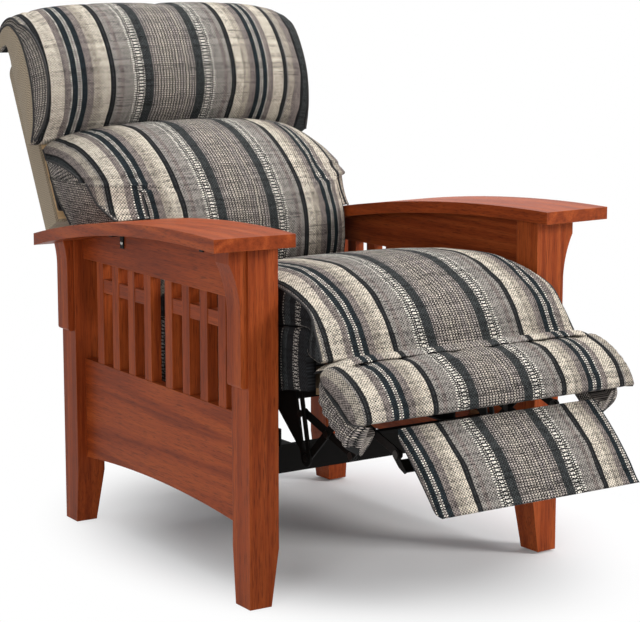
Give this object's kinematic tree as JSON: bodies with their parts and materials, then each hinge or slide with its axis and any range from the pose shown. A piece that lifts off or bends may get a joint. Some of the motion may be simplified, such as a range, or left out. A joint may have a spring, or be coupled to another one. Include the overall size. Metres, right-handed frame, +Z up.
{
  "type": "recliner",
  "caption": "Push-back recliner with bowed oak arms, slatted side frames, striped cushions and a folding footrest",
  "frame": {"origin": "the middle of the chair's bounding box in width and depth in the shown pose, on the floor", "axes": "+X to the sitter's left, -Y forward (the way the sitter faces), +Z up"},
  "size_m": [0.836, 1.3429, 1.0092],
  "materials": {
    "oak": "satin amber-brown stain over open-grained oak",
    "pine": "bare softwood and plywood",
    "black_wood": "black painted hardwood",
    "black_steel": "black enamel on steel",
    "link_steel": "black enamel on stamped steel",
    "zinc": "zinc-plated pins and wire",
    "striped_fabric": "coarse woven stripes in black, cream, taupe and navy",
    "plain_fabric": "plain tan herringbone weave"
  },
  "bodies": {
    "base": {"front_post_left": "oak", "front_post_right": "oak", "rear_post_left": "oak", "rear_post_right": "oak", "arm_left": "oak", "arm_right": "oak", "front_corbels": "oak", "rear_corbels": "oak", "top_rail_left": "oak", "top_rail_right": "oak", "lower_rail_left": "oak", "lower_rail_right": "oak", "slats_left": "oak", "slats_right": "oak", "cross_bars_left": "oak", "cross_bars_right": "oak", "arm_brackets": "black_steel", "arm_bracket_screws": "zinc", "leg_glides": "black_steel", "front_cross_rail": "black_wood", "rear_cross_rail": "black_wood", "base_corner_blocks": "pine", "base_rail_left": "black_steel", "base_rail_right": "black_steel", "base_pins": "zinc"},
    "front_swing": {"front_swing_links": "link_steel"},
    "rear_swing": {"rear_swing_links": "link_steel", "rear_slot_pins": "zinc"},
    "seat": {"seat_plate_left": "link_steel", "seat_plate_right": "link_steel", "seat_pins": "zinc", "seat_frame": "pine", "seat_corner_blocks": "pine", "seat_springs": "zinc", "seat_box": "striped_fabric", "seat_side_panels": "striped_fabric", "seat_cushion": "striped_fabric", "bolster_hinge_leaves": "link_steel", "bolster_hinge_pins": "zinc"},
    "front_panel": {"bolster_board": "pine", "bolster_hinge_straps": "link_steel", "bolster_skirts": "striped_fabric", "front_bolster": "striped_fabric"},
    "back": {"back_frame": "pine", "outer_back": "plain_fabric", "back_brackets": "link_steel", "lumbar_cushion": "striped_fabric", "head_cushion": "striped_fabric"},
    "lower_link": {"lower_legrest_links": "link_steel", "torque_tube": "link_steel", "crossing_pins": "zinc"},
    "upper_link": {"upper_legrest_links": "link_steel", "upper_link_pins": "zinc"},
    "outer_link": {"outer_legrest_links": "link_steel", "outer_link_pins": "zinc"},
    "short_link": {"short_legrest_links": "link_steel"},
    "footrest": {"footrest_brackets": "link_steel", "footrest_board": "pine", "footrest_cushion": "striped_fabric"}
  },
  "joints": [
    {"name": "recline", "type": "hinge", "parent": "base", "child": "front_swing", "pos_m": [0, -0.095, 0.263], "axis": [1, 0, 0], "range_deg": [-40, 31]},
    {"name": "seat_tilt", "type": "hinge", "parent": "front_swing", "child": "seat", "pos_m": [0, -0.10802, 0.33686], "axis": [-1, 0, 0], "range_deg": [-44.01, 34.11]},
    {"name": "rear_swing", "type": "hinge", "parent": "base", "child": "rear_swing", "pos_m": [0, 0.285, 0.262], "axis": [1, 0, 0], "range_deg": [-36.01, 27.91]},
    {"name": "back_recline", "type": "hinge", "parent": "seat", "child": "back", "pos_m": [0, 0.29, 0.349], "axis": [-1, 0, 0], "range_deg": [-9.01, 6.99]},
    {"name": "bolster_flip", "type": "hinge", "parent": "seat", "child": "front_panel", "pos_m": [0, -0.431, 0.427], "axis": [-1, 0, 0], "range_deg": [-34.01, 26.36]},
    {"name": "legrest_fold", "type": "hinge", "parent": "seat", "child": "lower_link", "pos_m": [0, -0.28, 0.244], "axis": [-1, 0, 0], "range_deg": [-23.03, 29.71]},
    {"name": "legrest_cross", "type": "hinge", "parent": "lower_link", "child": "upper_link", "pos_m": [0, -0.33558, 0.29583], "axis": [-1, 0, 0], "range_deg": [-59.41, 46.05]},
    {"name": "legrest_outer", "type": "hinge", "parent": "lower_link", "child": "outer_link", "pos_m": [0, -0.39117, 0.34766], "axis": [-1, 0, 0], "range_deg": [-59.41, 46.05]},
    {"name": "legrest_short", "type": "hinge", "parent": "upper_link", "child": "short_link", "pos_m": [0, -0.40786, 0.27235], "axis": [-1, 0, 0], "range_deg": [-46.05, 59.41]},
    {"name": "footrest_turn", "type": "hinge", "parent": "outer_link", "child": "footrest", "pos_m": [0, -0.53573, 0.30069], "axis": [-1, 0, 0], "range_deg": [-22.01, 17.06]}
  ],
  "couplings": [
    {"joint": "seat_tilt", "follows": "recline", "ratio": 1.1},
    {"joint": "rear_swing", "follows": "recline", "ratio": 0.9},
    {"joint": "back_recline", "follows": "recline", "ratio": 0.225},
    {"joint": "bolster_flip", "follows": "recline", "ratio": 0.85},
    {"joint": "legrest_fold", "follows": "recline", "ratio": -0.7425},
    {"joint": "legrest_cross", "follows": "recline", "ratio": 1.485},
    {"joint": "legrest_outer", "follows": "recline", "ratio": 1.485},
    {"joint": "legrest_short", "follows": "recline", "ratio": -1.485},
    {"joint": "footrest_turn", "follows": "recline", "ratio": 0.55}
  ]
}
